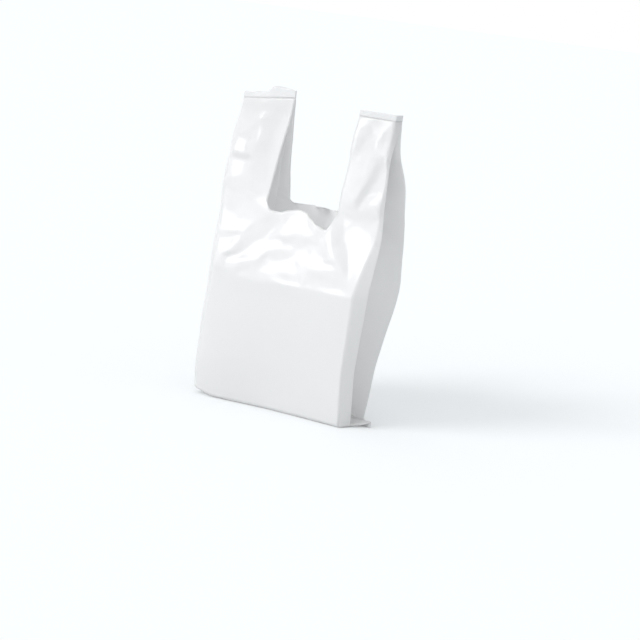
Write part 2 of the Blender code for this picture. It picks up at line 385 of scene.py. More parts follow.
FRONT_FOLDS: tuple[FoldLine, ...] = (
    # The mouth's edge
    ((-97, 3.00, 2), (-61, 2.96, 3), (-45, 2.95, 3), (-31, 2.97, 2), (-20, 3.01, -1)),
    ((-20, 3.01, -1), (-10, 3.03, -2), (2, 3.04, -2), (11, 3.00, -1), (17, 2.95, 2)),
    ((17, 2.95, 2), (30, 2.88, 4), (43, 2.83, 3)),
    # The tent under it, and the dark hollow under the tent
    ((-20, 3.01, -1), (-21, 2.78, -0.5), (-30, 2.67, 0.5), (-18, 2.64, 1.5)),
    ((-18, 2.64, 1.5), (7, 2.71, 1.5), (23, 2.71, 1.5), (24, 2.78, 0.5), (11, 3.00, -1)),
    ((-20, 2.57, -2.5), (-12, 2.51, -3.5), (8, 2.49, -4.5), (23, 2.57, -3.5)),
    # The band from the mouth down to the left shoulder: its upper edge, then its lower
    (
        (-36, 2.75, -4), (-51, 2.53, -3.5), (-68, 2.44, -3.5), (-79, 2.27, -3), (-104, 2.17, -2.5)
    ),
    ((-26, 2.58, -2), (-15, 2.44, -1.5), (-36, 2.37, -0.5), (-51, 2.20, 0.5), (-83, 2.09, 1)),
    ((-83, 2.09, 1), (-104, 2.04, 1)),
    # The film above the band
    ((-70, 2.78, 2), (-88, 2.60, 2)),
    # The wedge and the white patch beside the left crease
    ((-87, 2.51, 1.5), (-95, 2.36, 3), (-104, 2.21, 3), (-118, 2.14, 2.5)),
    ((-133, 2.42, -0.5), (-105, 2.49, 0.5), (-87, 2.51, 1.5)),
    ((-135, 2.52, 2.5), (-110, 2.58, 4), (-88, 2.60, 2)),
    ((-130, 2.70, 1), (-113, 2.76, -0.5), (-98, 2.72, 1)),
    # The star in the middle: its upper edge on the left, its arm to the right, its foot
    ((8, 2.49, -4.5), (5, 2.33, -5), (-18, 2.21, -5), (-39, 2.26, -3.5)),
    ((23, 2.57, -3.5), (34, 2.45, -3), (50, 2.41, -2.5), (59, 2.43, -3)),
    ((60, 2.365, -2), (76, 2.35, -1.5)),
    ((42, 2.23, -0.5), (69, 2.26, 0.5), (88, 2.28, 0.5), (102, 2.25, 0)),
    ((42, 2.23, -0.5), (36, 2.13, -1.5), (47, 2.08, -3.5)),
    ((47, 2.08, -3.5), (76, 2.05, -5), (99, 2.05, -4.5), (112, 2.05, -2)),
    ((-75, 2.02, -1), (-46, 2.10, -3), (-20, 2.09, -3.5)),
    # The shoulder's edge
    ((-120, 1.95, 0.5), (-84, 1.95, 1), (-45, 1.93, 1.8), (1, 1.955, 2.2), (36, 1.975, 1.2)),
    ((36, 1.975, 1.2), (58, 1.985, 0.4), (80, 1.975, 0.2), (99, 1.97, 0.4), (117, 1.98, 1.4)),
    ((-34, 2.03, -1), (1, 2.03, -2.0), (28, 2.04, -3.0)),
    # The strips that run down from the right handle
    ((43, 2.83, 3), (46, 2.74, 0), (51, 2.58, -1.5), (59, 2.43, -3)),
    (
        (52, 2.88, 1), (53, 2.80, 1), (60, 2.60, 2), (69, 2.43, 2.5), (84, 2.40, 3),
        (70, 2.61, 2.5)
    ),
    ((70, 2.61, 2.5), (60, 2.82, 1)),
    ((67, 3.03, -6), (82, 2.75, -5), (95, 2.57, -4), (109, 2.26, -1.5), (118, 2.07, 1)),
    ((67, 3.03, -6), (90, 3.01, -5.5), (113, 2.95, -4.5), (124, 2.89, -3.5), (131, 2.70, -1.5)),
    ((131, 2.70, -1.5), (136, 2.61, -1), (131, 2.48, 0), (125, 2.18, 1.5), (118, 2.07, 1)),
    ((70, 3.16, -2), (92, 3.13, -1)),
    # The left handle: the crest that parts its light and dark sides, and its inner edge
    (
        (-91, 3.06, 3), (-98, 3.20, 5), (-103, 3.45, 6), (-104, 3.64, 5.5), (-107, 3.82, 6.2),
        (-110, 3.96, 5.2)
    ),
    ((-62, 3.12, 1), (-62, 3.30, -2), (-62, 3.60, -5), (-62, 3.90, -3)),
    ((-136, 3.62, 1), (-118, 3.60, 1)),
    ((-140, 3.49, 6), (-128, 3.47, 6.5), (-116, 3.48, 6)),
    ((-142, 3.42, 0), (-110, 3.43, 1)),
    ((-142, 3.22, 6.5), (-128, 3.23, 6.5), (-110, 3.28, 6)),
    ((-140, 3.12, 1), (-124, 3.10, 3), (-112, 3.14, 4)),
    # The right handle: two dark streaks, the light between them, and two small highlights
    ((67, 3.90, 4), (67, 3.80, 6), (67, 3.70, 5)),
    ((96, 3.95, 0), (88, 3.87, 0), (81, 3.80, -0.5), (76, 3.66, -1), (67, 3.56, -1)),
    ((110, 3.92, 3), (101, 3.76, 4), (93, 3.60, 5), (84, 3.45, 5), (71, 3.32, 2)),
    ((110, 3.60, 3.5), (98, 3.40, 6), (88, 3.24, 5)),
    ((119, 3.57, -1.5), (114, 3.46, -3), (105, 3.32, -4), (96, 3.20, -3)),
    ((111, 3.37, -2), (129, 3.36, -1.5)),
    ((110, 3.22, 3.5), (129, 3.21, 3.5)),
    ((114, 3.81, 0.5), (128, 3.78, 0.5)),
    ((114, 3.67, 4.8), (128, 3.64, 4.8)),
)

BACK_FOLDS: tuple[FoldLine, ...] = (
    ((7, 2.94, 4), (-6, 2.66, 6), (-26, 2.24, 7), (-70, 2.14, 5), (-116, 2.04, 3)),
    ((-34, 2.84, -3), (-46, 2.60, -5), (-60, 2.42, -5), (-92, 2.26, -4), (-130, 2.18, -1)),
    ((24, 2.88, -1), (18, 2.62, -4), (10, 2.36, -3), (20, 2.20, -1)),
    ((-26, 2.24, 7), (14, 2.12, 3), (60, 2.03, 2)),
    ((49, 3.00, 3), (66, 2.74, 5), (90, 2.42, 6), (118, 2.08, 3)),
    ((70, 3.02, -3), (92, 2.76, -4), (116, 2.48, -3), (132, 2.28, -1)),
    ((34, 2.62, -2), (62, 2.36, -5), (88, 2.18, -3), (104, 2.06, -1)),
    ((-80, 3.02, 3), (-100, 2.72, 4), (-126, 2.40, 2)),
    ((-112, 2.94, -2), (-136, 2.66, -1)),
    ((-44, 1.92, 1), (10, 1.95, 2), (70, 1.97, 2), (110, 1.96, 1)),
    ((128, 3.16, 3), (108, 3.30, 3), (88, 3.46, 2)),
    ((134, 3.34, -2), (112, 3.46, -3), (92, 3.62, -1)),
    ((100, 3.12, -2), (76, 3.22, -3)),
    ((78, 3.68, 2), (104, 3.90, 3)),
    ((-76, 3.12, -2), (-98, 3.34, -3), (-120, 3.48, -1)),
    ((-92, 3.14, 2), (-114, 3.28, 3), (-134, 3.36, 1)),
    ((-84, 3.44, 3), (-102, 3.64, 3), (-118, 3.86, 1)),
    ((-66, 3.56, -2), (-82, 3.80, -3)),
)

# The mouth's edge: millimetres right of the middle, and millimetres up from the cut
MOUTH_EDGE = {
    Panel.FRONT: (
        (-61, 0), (-50, -5), (-34, -5), (-20, -1), (-2, 3),
        (8, 1), (20, -6), (34, -12), (50, -16), (61, 0),
    ),
    Panel.BACK: (
        (-61, 0), (-36, 1), (-14, 3), (-2, 5), (12, -1), (22, 0), (31, 3), (42, -3), (61, 0),
    ),
}


@dataclass(frozen=True)
class Ripple:
    """Soft noise over the film.

    Attributes:
        height: Its height in metres.
        rates: How fast it runs along each of the three values that it is read at.
    """

    height: float
    rates: Place

    def noise(self, *values: float) -> float:
        """The noise alone, from about -1 to 1, at three values."""
        return noise.noise(Vector([value * rate for value, rate in zip(values, self.rates)]))

    def at(self, *values: float) -> float:
        """The noise in metres, at three values."""
        return self.height * self.noise(*values)


class CrumpleField:
    """The facets of one wall: flat triangles between its fold lines."""

    BORDER_STEP = 0.012
    LOW_STATION = 1.55
    TOP_MARGIN = 0.004
    SAME_PLACE = 1e-6
    BLUR = 0.0022
    SAMPLES = ((0, 0, 2), (1, 0, 1), (-1, 0, 1), (0, 1, 1), (0, -1, 1))

    def __init__(self, folds: tuple[FoldLine, ...], tube: OpenedTube) -> None:
        """Joins the fold lines into triangles.

        Args:
            folds: The ridges and valleys of the wall.
            tube: The tube that they are drawn on.
        """
        places = self._border(tube)
        heights = [0.0] * len(places)
        edges: list[tuple[int, int]] = []
        for line in folds:
            found = []
            for across, station, height in line:
                spot = Vector((across * MM, tube.film_at(station)))
                gaps = [(other - spot).length for other in places]
                known = [i for i, gap in enumerate(gaps) if gap < self.SAME_PLACE]
                if not known:
                    places.append(spot)
                    heights.append(height * MM)
                found.append(known[0] if known else len(places) - 1)
            edges += zip(found, found[1:])
        spots, _, faces, origins, _, _ = geometry.delaunay_2d_cdt(
            places, edges, [], 0, self.SAME_PLACE
        )
        crossed = [tuple(spot) for spot, origin in zip(spots, origins) if not origin]
        if crossed:
            raise ValueError(f"fold lines cross at {crossed}")
        points = [
            Vector((spot.x, spot.y, heights[origin[0]])) for spot, origin in zip(spots, origins)
        ]
        self.tree = BVHTree.FromPolygons(points, faces)

    def _border(self, tube: OpenedTube) -> list[Vector]:
        """Marks the unmoved film, all round the crumpled zone.

        Args:
            tube: The tube.

        Returns:
            The places.
        """
        half = tube.cut.half
        low, high = tube.film_at(self.LOW_STATION), tube.film_at(4) + self.TOP_MARGIN
        places = []
        count = round((high - low) / self.BORDER_STEP)
        for row in range(count + 1):
            film = low + (high - low) * row / count
            places += [Vector((-half, film)), Vector((half, film))]
        count = round(2 * half / self.BORDER_STEP)
        for column in range(1, count):
            across = -half + 2 * half * column / count
            places += [Vector((across, low)), Vector((across, high))]
        return places

    def height(self, across: float, film: float) -> float:
        """How far the wall stands outwards at one place, a little softened.

        Args:
            across: Metres right of the wall's middle.
            film: Metres up the film from the bottom seal.

        Returns:
            The height in metres.
        """
        total = 0.0
        for step_x, step_y, weight in self.SAMPLES:
            start = Vector((across + step_x * self.BLUR, film + step_y * self.BLUR, 1))
            spot = self.tree.ray_cast(start, Vector((0, 0, -1)))[0]
            total += weight * (spot.z if spot else 0.0)
        return total / sum(weight for _, _, weight in self.SAMPLES)


@dataclass(frozen=True)
class HandleLean:
    """How the handles lean.

    The right handle's outer edge turns in and back. The left handle tilts, is fuller along its
    outer edge, and closes a little under its seal. Spans are in stations up the film, unless
    they say metres.
    """

    turn_from: float = 0.123
    turn_in: float = 0.85
    turn_back: float = 0.60
    front_turn: Span = (2.6, 3.8)
    back_turn: Span = (3.2, 4.0)
    top_turn: Span = (3.6, 4.0)
    wall_metres: Span = (-0.02, 0.02)
    tilt_up: float = 0.13
    tilt_out: float = 0.09
    tilt_rise: Span = (3.3, 4.0)
    closed: float = 0.25
    close_rise: Span = (3.62, 3.86)
    close_fall: Span = (3.88, 3.99)
    fuller: float = 0.006
    full_reach: float = 0.06
    full_rise: Span = (2.7, 3.3)
    full_fall: Span = (3.6, 4.0)

    def moved(self, place: Vector, t: float, outer: float) -> Vector:
        """Leans one point of a handle.

        Args:
            place: The point.
            t: Its station up the film.
            outer: The x of the handle's outer edge, which sets the side.

        Returns:
            The leaned point.
        """
        if outer > 0:
            beyond = max(place.x - self.turn_from, 0)
            frontness = eased(-place.y, *self.wall_metres)
            share = frontness * eased(t, *self.front_turn)
            share += (1 - frontness) * eased(t, *self.back_turn)
            back = self.turn_back * beyond * eased(t, *self.top_turn)
            return place + Vector((-self.turn_in * beyond * share, back, 0))
        place = place.copy()
        place.y *= 1 - self.closed * hump(t, self.close_rise, self.close_fall)
        reach = max(place.x - outer, 0) * eased(t, *self.tilt_rise)
        full = self.fuller * eased(outer + self.full_reach - place.x, 0, self.full_reach)
        full *= hump(t, self.full_rise, self.full_fall)
        return place + Vector((self.tilt_out * reach - full, 0, self.tilt_up * reach))


def sheet(name: str, lines: list[list[Vector]], closed: bool) -> bpy.types.Mesh:
    """Joins lines of points into a sheet of four-sided faces.

    Args:
        name: The mesh's name.
        lines: The lines, side by side. Where one is longer, its end stays free.
        closed: Whether the last line joins the first.

    Returns:
        The mesh.
    """
    shell = bmesh.new()
    grid = [[shell.verts.new(place) for place in line] for line in lines]
    for left, right in zip(grid, grid[1:] + grid[:1] if closed else grid[1:]):
        for row in range(min(len(left), len(right)) - 1):
            shell.faces.new((left[row], right[row], right[row + 1], left[row + 1]))
    mesh = bpy.data.meshes.new(name)
    shell.to_mesh(mesh)
    shell.free()
    return mesh


@dataclass(frozen=True)
class SealStrip:
    """A strip in which the four layers are welded, with the loose skirt beyond the weld.

    Attributes:
        name: The piece's name.
        low_x: Its left end.
        high_x: Its right end.
        low_z: Its lower edge.
        tall: Its height.
        crest: The x, the height and the reach of a place where its free edge stands up.
        at_top: Whether it closes a handle, and not the bottom.
    """

    name: str
    low_x: float
    high_x: float
    low_z: float
    tall: float
    crest: Place | None = None
    at_top: bool = True

    STEEPER = 4

    def height(self, x: float) -> float:
        """Finds the strip's height at one place.

        Args:
            x: The place.

        Returns:
            The height, with the crest's left side steeper than its right.
        """
        if self.crest is None:
            return self.tall
        place, extra, reach = self.crest
        if x < place:
            return self.tall + extra * eased(x, place - reach / self.STEEPER, place)
        return self.tall + extra * (1 - eased(x, place, place + reach))


@dataclass(frozen=True)
class BaseSpread:
    """How the two sides below the shoulder differ from the flat cut's even opening.

    The right side is drawn in. The left side spreads and swells, and its lower corner is rounded
    and lifted. Spans of t are in stations up the film, and spans of x are in metres.
    """

    right_bend: float = 0.025
    right_angle: float = math.radians(68)
    pull: float = 0.072
    pull_fall: Span = (1.35, 2)
    spread: float = 0.026
    swell: float = 0.28
    swell_x: Span = (0.0, 0.13)
    spread_fall: Span = (1.15, 2)
    corner_lift: float = 0.007
    corner_x: Span = (0.108, 0.146)
    corner_rise: Span = (0.2, 0.9)
    corner_fall: Span = (1.0, 1.25)
    from_base: Span = (0, 1)

    def move(self, place: Vector, t: float, side: int) -> None:
        """Moves one point of the film in place.

        Args:
            place: The point.
            t: Its station up the film.
            side: 1 on the right, -1 on the left.
        """
        if side > 0:
            place.x *= 1 - self.pull * hump(t, self.from_base, self.pull_fall)
            return
        low = hump(t, self.from_base, self.spread_fall)
        place.x *= 1 + self.spread * low
        place.y *= 1 + self.swell * low * eased(-place.x, *self.swell_x)
        corner = eased(-place.x, *self.corner_x) * hump(t, self.corner_rise, self.corner_fall)
        place.z += self.corner_lift * corner


@dataclass(frozen=True)
class FaceCounts:
    """How many faces each stretch of a quarter ring has, and how far apart the rings lie."""

    mouth: int = 13
    corner: int = 4
    wall: int = 18
    bend: int = 5
    crease: int = 4
    gusset: int = 20
    tuck: int = 3
    row_step: float = 0.004
    smooth_row_step: float = 0.008
    fine_below_shoulder: float = 0.03
    strip_step: float = 0.002
    strip_rows: int = 8


@dataclass(frozen=True)
class CrumpleSizes:
    """How the film crumples, in metres, stations and shares. It is taut below, slack above."""

    taut_below: float = 1.7
    slack_span: float = 0.3
    room_depth: float = 0.035
    room_width: float = 0.010
    room_outwards: float = 0.009
    crinkle: Ripple = Ripple(0.0007, (46, 46, 3.7))
    crinkle_top: float = 0.35
    soft_wave: Ripple = Ripple(0.0011, (11, 11, 9.2))
    wave_start: float = 0.08
    wobble: Ripple = Ripple(0.0022, (4.1, 9, 19))
    wobble_x: Span = (0.09, 0.146)
    wobble_rise: Span = (0.6, 1.2)
    wobble_fall: Span = (3.5, 3.95)
    buckle: Ripple = Ripple(0.004, (2.2, 24, 1))
    buckle_top: float = 0.5
    buckle_start: float = 0.1
    buckle_waves: float = 9.0
    wave_share: float = 0.7
    ridge_share: float = 0.8
    taut_share: float = 0.35
    curl_film: float = 0.012
    curl_reach: float = 0.012
    curl_tabs: tuple[Span, ...] = ((-0.004, 0.009), (0.031, 0.006))
    front_curl: Ripple = Ripple(0.0015, (30, 1.0, 2.0))
    seal_ripple: Ripple = Ripple(0.0016, (70, 4.4, 10))


@dataclass(frozen=True)
class SealSizes:
    """What the welded strips add to the flat cut's skirts, in metres."""

    extra_wall: float = 0.0003
    top_overlap: float = 0.0006
    bottom_overlap: float = 0.0004
    off_ground: float = 0.0002
    crest: Place = (-0.096, 0.009, 0.05)


@dataclass(frozen=True)
class FilmSpot:
    """One place on the smooth film.

    Attributes:
        point: Where it is in the front right quarter.
        column: Its column.
        film: Its length up the film from the bottom seal.
        t: Its station.
        side: 1 on the right, -1 on the left.
        panel: The wall whose quarter it is in.
        slack: How slack the film is there, from 0 to 1.
    """

    point: Vector
    column: Column
    film: float
    t: float
    side: int
    panel: Panel
    slack: float

    @property
    def across(self) -> float:
        """How far right of the wall's middle it lies."""
        return self.side * self.point.x


@dataclass
class FilmBag:
    """The whole bag: film, bottom seal and the two handles' seals."""

    cut: FlatCut = FlatCut()
    shape: OpenShape = OpenShape()
    base: BaseSpread = BaseSpread()
    lean: HandleLean = HandleLean()
    faces: FaceCounts = FaceCounts()
    crumple: CrumpleSizes = CrumpleSizes()
    seals: SealSizes = SealSizes()

    HANDLE_STATION = 2.5
    RING_DIGITS = 7
    QUARTER_SEED = 5

    def __post_init__(self) -> None:
        """Prepares the tube and the two crumpled walls."""
        self.tube = OpenedTube(self.cut, self.shape)
        drawn_in = replace(
            self.shape,
            base_bend_width=self.base.right_bend,
            base_bend_angle=self.base.right_angle,
        )
        self.tubes = {1: OpenedTube(self.cut, drawn_in), -1: self.tube}
        self.fields = {
            Panel.FRONT: CrumpleField(FRONT_FOLDS, self.tube),
            Panel.BACK: CrumpleField(BACK_FOLDS, self.tube),
        }
        self.rings: dict[tuple[int, float], Ring] = {}

    def ring(self, side: int, t: float) -> Ring:
        """Gives the ring of one side at a height, made once.

        Args:
            side: 1 on the right, -1 on the left.
            t: The height, in stations.

        Returns:
            The ring.
        """
        key = (side, round(t, self.RING_DIGITS))
        if key not in self.rings:
            self.rings[key] = Ring(self.tubes[side], t)
        return self.rings[key]

    def columns(self) -> list[Column]:
        """Lists the columns from the middle of a wall to the middle of a gusset.

        Returns:
            The columns.
        """
        cut, counts, found = self.cut, self.faces, []
        corner = cut.mouth_half - cut.cut_radius
        for i in range(counts.mouth):
            film = corner * i / counts.mouth
            found.append(Column(Stretch.MOUTH, film / cut.mouth_half, film, 0.0))
        for i in range(counts.corner):
            angle = math.pi / 2 * i / counts.corner
            film = corner + cut.cut_radius * math.sin(angle)
            rise = cut.cut_radius * (1 - math.cos(angle))
            found.append(Column(Stretch.MOUTH, film / cut.mouth_half, film, rise))
        bend = cut.half - self.shape.mouth_bend_width
        stretches = (
            (Stretch.WALL, counts.wall, cut.mouth_half, bend),
            (Stretch.BEND, counts.bend, bend, cut.half),
            (Stretch.CREASE, counts.crease, cut.half, cut.half),
            (Stretch.GUSSET, counts.gusset, cut.half, cut.half + cut.gusset),
        )
        for stretch, faces, start, end in stretches:
            for i in range(faces):
                film = start + (end - start) * i / faces
                found.append(Column(stretch, i / faces, film, cut.cut_radius))
        for i in range(counts.tuck + 1):
            film = cut.half + cut.gusset
            found.append(Column(Stretch.TUCK, i / counts.tuck, film, cut.cut_radius))
        return found

    @staticmethod
    def _steps(start: float, end: float, step: float) -> list[float]:
        """Even steps from start up to, but without, the end."""
        count = max(1, round((end - start) / step))
        return [start + (end - start) * i / count for i in range(count)]

    def body_rows(self, edge: float) -> list[float]:
        """Film lengths at which rings cross a column, from the bottom seal to the mouth's edge.

        Args:
            edge: The film length of that column's edge.

        Returns:
            The film lengths, the edge's own last.
        """
        tube, counts = self.tube, self.faces
        low_base, high_base = tube.film_at(tube.before(1)), tube.film_at(tube.after(1))
        start = tube.film_at(tube.before(2)) - counts.fine_below_shoulder
        rows = self._steps(0, low_base, counts.row_step)
        rows += self._steps(low_base, high_base, counts.row_step)
        rows += self._steps(high_base, start, counts.smooth_row_step)
        full = self.cut.mouth_film + self.cut.cut_radius
        fine = self._steps(start, full, counts.row_step) + [full]
        return rows + [start + (film - start) * (edge - start) / (full - start) for film in fine]

    def handle_rows(self) -> list[float]:
        """Lists the film lengths of the handles' rings, above the punched corner.

        Returns:
            The film lengths.
        """
        start = self.cut.mouth_film + self.cut.cut_radius
        end = self.tube.film_at(4)
        return self._steps(start, end, self.faces.row_step)[1:] + [end]

    def edge_film(self, column: Column, across: float, panel: Panel) -> float:
        """Finds the film length at which the mouth's edge crosses a column.

        Args:
            column: The column.
            across: How far right of the wall's middle it lies.
            panel: The wall that it is in.

        Returns:
            The film length from the bottom seal.
        """
        edge = self.cut.mouth_film + column.cut_rise
        if column.stretch is not Stretch.MOUTH:
            return edge
        places = MOUTH_EDGE[panel]
        for (low, low_rise), (high, high_rise) in zip(places, places[1:]):
            if low * MM <= across <= high * MM:
                share = eased(across / MM, low, high)
                return edge + (low_rise + (high_rise - low_rise) * share) * MM
        return edge

    def crumpled(self, spot: FilmSpot) -> Vector:
        """Moves one place of the smooth film.

        Args:
            spot: The place.

        Returns:
            Its true place in the bag.
        """
        sizes, point, t = self.crumple, spot.point, spot.t
        stretch, out = spot.column.stretch, spot.panel.value
        room = min(abs(point.y) / sizes.room_depth, 1)
        place = Vector((point.x * spot.side, point.y * out, point.z - self.shape.ground))
        self.base.move(place, t, spot.side)
        outwards = eased(abs(place.x), *sizes.wobble_x)
        outwards *= hump(t, sizes.wobble_rise, sizes.wobble_fall)
        place.x += sizes.wobble.at(spot.side, place.y, spot.film) * outwards
        if stretch in (Stretch.MOUTH, Stretch.WALL, Stretch.BEND):
            lift = self.wall_lift(spot)
            if lift > 0:
                room = min(abs(point.y) / sizes.room_outwards, 1)
            near_crease = clamped((self.cut.half - spot.column.film) / sizes.room_width)
            place.y -= out * lift * room * near_crease
            if stretch is Stretch.MOUTH:
                place.y -= out * self.edge_curl(spot)
        elif stretch is Stretch.GUSSET:
            place.y += out * room * self.gusset_lift(spot)
        if t > self.HANDLE_STATION and stretch is not Stretch.MOUTH:
            place = self.lean.moved(place, t, spot.side * self.cut.half)
        return place

    def wall_lift(self, spot: FilmSpot) -> float:
        """How far a broad wall stands outwards at one place.

        Args:
            spot: The place.

        Returns:
            The height in metres, below 0 where it is pushed in.
        """
        sizes, where = self.crumple, (spot.across, spot.film, spot.panel.value)
        ridges = creased(sizes.crinkle.noise(*where), sizes.crinkle_top)
        height = self.fields[spot.panel].height(spot.across, spot.film)
        lift = (height + sizes.crinkle.height * ridges) * spot.slack
        return lift + sizes.soft_wave.at(*where) * min(spot.film / sizes.wave_start, 1)

    def gusset_lift(self, spot: FilmSpot) -> float:
        """How far a gusset's half buckles towards the bag's middle at one place.

        Args:
            spot: The place.

        Returns:
            The height in metres.
        """
        sizes, share, panel = self.crumple, spot.column.share, spot.panel.value
        quarter = self.QUARTER_SEED * spot.side + panel
        ridge = creased(sizes.buckle.noise(share, spot.film, quarter), sizes.buckle_top)
        ridge *= sizes.taut_share + (1 - sizes.taut_share) * spot.slack
        ridge *= min(spot.film / sizes.buckle_start, 1)
        wave = math.sin(sizes.buckle_waves * spot.t + spot.side + 2 * panel) * spot.slack
        lift = sizes.wave_share * wave + sizes.ridge_share * ridge
        return sizes.buckle.height * lift * math.sin(math.pi * share)

    def edge_curl(self, spot: FilmSpot) -> float:
        """How far the mouth's free edge curls outwards at one place.

        Args:
            spot: The place.

        Returns:
            The curl in metres, below 0 where it curls into the bag.
        """
        sizes = self.crumple
        depth = (spot.film - self.cut.mouth_film) / sizes.curl_film + 1
        if depth <= 0:
            return 0.0
        if spot.panel is Panel.FRONT:
            return sizes.front_curl.at(spot.across, 1, 1) * depth**2
        tabs = (((spot.across - middle) / width) ** 2 for middle, width in sizes.curl_tabs)
        return -sizes.curl_reach * sum(math.exp(-tab) for tab in tabs) * depth**2

    def film_mesh(self) -> bpy.types.Mesh:
        """Builds the film's middle surface, open at the mouth, the handles' edges and the seals.

        Returns:
            The mesh.
        """
        columns = self.columns()
        last = len(columns) - 1
        mouth_columns = self.faces.mouth + self.faces.corner
        order = [(i, 1, Panel.FRONT) for i in range(last + 1)]
        order += [(i, 1, Panel.BACK) for i in range(last - 1, -1, -1)]
        order += [(i, -1, Panel.BACK) for i in range(1, last + 1)]
        order += [(i, -1, Panel.FRONT) for i in range(last - 1, 0, -1)]
        lines = []
        for index, side, panel in order:
            column = columns[index]
            rows = self.body_rows(self.edge_film(column, column.film * side, panel))
            if index >= mouth_columns:
                rows = rows + self.handle_rows()
            line = []
            for film in rows:
                t = self.tube.station_at(film)
                point = self.ring(side, t).point(column)
                slack = clamped((t - self.crumple.taut_below) / self.crumple.slack_span)
                line.append(self.crumpled(FilmSpot(point, column, film, t, side, panel, slack)))
            lines.append(line)
        return sheet("film", lines, closed=True)

    def strip_mesh(self, strip: SealStrip) -> bpy.types.Mesh:
        """Builds the middle surface of a welded strip, its free edge waving.

        Args:
            strip: The strip's sizes.

        Returns:
            The mesh.
        """
        across_count = round((strip.high_x - strip.low_x) / self.faces.strip_step)
        up_count = self.faces.strip_rows
        outer = math.copysign(self.cut.half, strip.low_x + strip.high_x)
        lines = []
        for i in range(across_count + 1):
            x = strip.low_x + (strip.high_x - strip.low_x) * i / across_count
            wave = self.crumple.seal_ripple.at(x, 1, strip.low_z)
            line = []
            for j in range(up_count + 1):
                share = j / up_count
                free = share if strip.at_top else 1 - share
                place = Vector((x, wave * free, strip.low_z + strip.height(x) * share))
                if strip.at_top:
                    place = self.lean.moved(place, 4.0, outer)
                line.append(place)
            lines.append(line)
        return sheet(strip.name, lines, closed=False)

    def walled(self, name: str, mesh: bpy.types.Mesh, thickness: float) -> bpy.types.Object:
        """Links a surface as an object and gives it its wall.

        Args:
            name: The object's name.
            mesh: Its middle surface.
            thickness: The wall's thickness.

        Returns:
            The closed piece.
        """
        piece = bpy.data.objects.new(name, mesh)
        bpy.context.scene.collection.objects.link(piece)
        bpy.ops.object.select_all(action="DESELECT")
        piece.select_set(True)
        bpy.context.view_layer.objects.active = piece
        wall = piece.modifiers.new("wall", "SOLIDIFY")
        wall.thickness = thickness
        wall.offset = 0
        bpy.ops.object.modifier_apply(modifier=wall.name)
        bpy.ops.object.shade_smooth()
        piece.select_set(False)
        return piece

    def build(self) -> list[bpy.types.Object]:
        """Builds the bag's pieces and hands them to the frame.

        Returns:
            The film and its three seals.
        """
        cut, shape, seals = self.cut, self.shape, self.seals
        seal_wall = 3 * shape.pitch + shape.film + seals.extra_wall
        ground = seals.off_ground
        bottom = cut.bottom_skirt + shape.pitch - shape.ground + seals.bottom_overlap
        low, tall = self.tube.top - shape.ground - seals.top_overlap, cut.top_skirt
        strips = (
            SealStrip("bottom_seal", -cut.half, cut.half, ground, bottom, at_top=False),
            SealStrip("left_handle_seal", -cut.half, -cut.mouth_half, low, tall, seals.crest),
            SealStrip("right_handle_seal", cut.mouth_half, cut.half, low, tall),
        )
        pieces = [self.walled("bag_film", self.film_mesh(), shape.film)]
        pieces += [self.walled(strip.name, self.strip_mesh(strip), seal_wall) for strip in strips]
        for piece in pieces:
            LOG.info("%s: %d faces", piece.name, len(piece.data.polygons))
        return pieces


def feed(node: bpy.types.Node, inputs: dict[str | int, Source]) -> bpy.types.Node:
    """Gives inputs of a node their values or links.

    Args:
        node: The node.
        inputs: For each input, a value or the output of another node.

    Returns:
        The node.
    """
    for name, source in inputs.items():
        if isinstance(source, bpy.types.NodeSocket):
            node.id_data.links.new(source, node.inputs[name])
        else:
            node.inputs[name].default_value = source
    return node


def added(
    tree: bpy.types.NodeTree, kind: str, inputs: dict[str | int, Source], **settings: str | bool
) -> bpy.types.Node:
    """Adds a shader node to a tree.

    Args:
        tree: The tree.
        kind: The node's kind.
        inputs: For each input, a value or the output of another node.
        settings: The node's own settings, which come first.

    Returns:
        The node.
    """
    node = tree.nodes.new("ShaderNode" + kind)
    for name, value in settings.items():
        setattr(node, name, value)
    return feed(node, inputs)


class CrinkleGroup:
    """The fine crinkle of thin film, as a node group that any film finish can use."""

    NAME = "film_crinkle"
    INPUTS = (("Crinkle Scale", 60.0), ("Cloud Scale", 12.0))
    RIDGE_DETAIL = 3.0
    RIDGE_ROUGHNESS = 0.45
    CLOUD_DETAIL = 2.0
    TAUT_BELOW = 0.19
    SLACK_ABOVE = 0.26

    def __init__(self) -> None:
        """Builds the group once."""
        group = bpy.data.node_groups.new(self.NAME, "ShaderNodeTree")
        ask = group.interface.new_socket
        for name, value in self.INPUTS:
            ask(name=name, in_out="INPUT", socket_type="NodeSocketFloat").default_value = value
        for name in ("Crinkle", "Cloud"):
            ask(name=name, in_out="OUTPUT", socket_type="NodeSocketFloat")
        given = group.nodes.new("NodeGroupInput").outputs
        place = added(group, "TexCoord", {}).outputs["Object"]
        ridge_inputs = {
            "Vector": place,
            "Scale": given["Crinkle Scale"],
            "Detail": self.RIDGE_DETAIL,
            "Roughness": self.RIDGE_ROUGHNESS,
        }
        ridges = added(group, "TexNoise", ridge_inputs, noise_type="RIDGED_MULTIFRACTAL")
        cloud_inputs = {"Scale": given["Cloud Scale"], "Detail": self.CLOUD_DETAIL}
        clouds = added(group, "TexNoise", {"Vector": place, **cloud_inputs})
        slack_inputs = {
            "Value": added(group, "SeparateXYZ", {"Vector": place}).outputs["Z"],
            "From Min": self.TAUT_BELOW,
            "From Max": self.SLACK_ABOVE,
        }
        slack = added(group, "MapRange", slack_inputs, interpolation_type="SMOOTHSTEP")
        factors = {0: ridges.outputs[0], 1: slack.outputs["Result"]}
        slacked = added(group, "Math", factors, operation="MULTIPLY")
        target = group.nodes.new("NodeGroupOutput")
        feed(target, {"Crinkle": slacked.outputs["Value"], "Cloud": clouds.outputs[0]})
        self.group = group


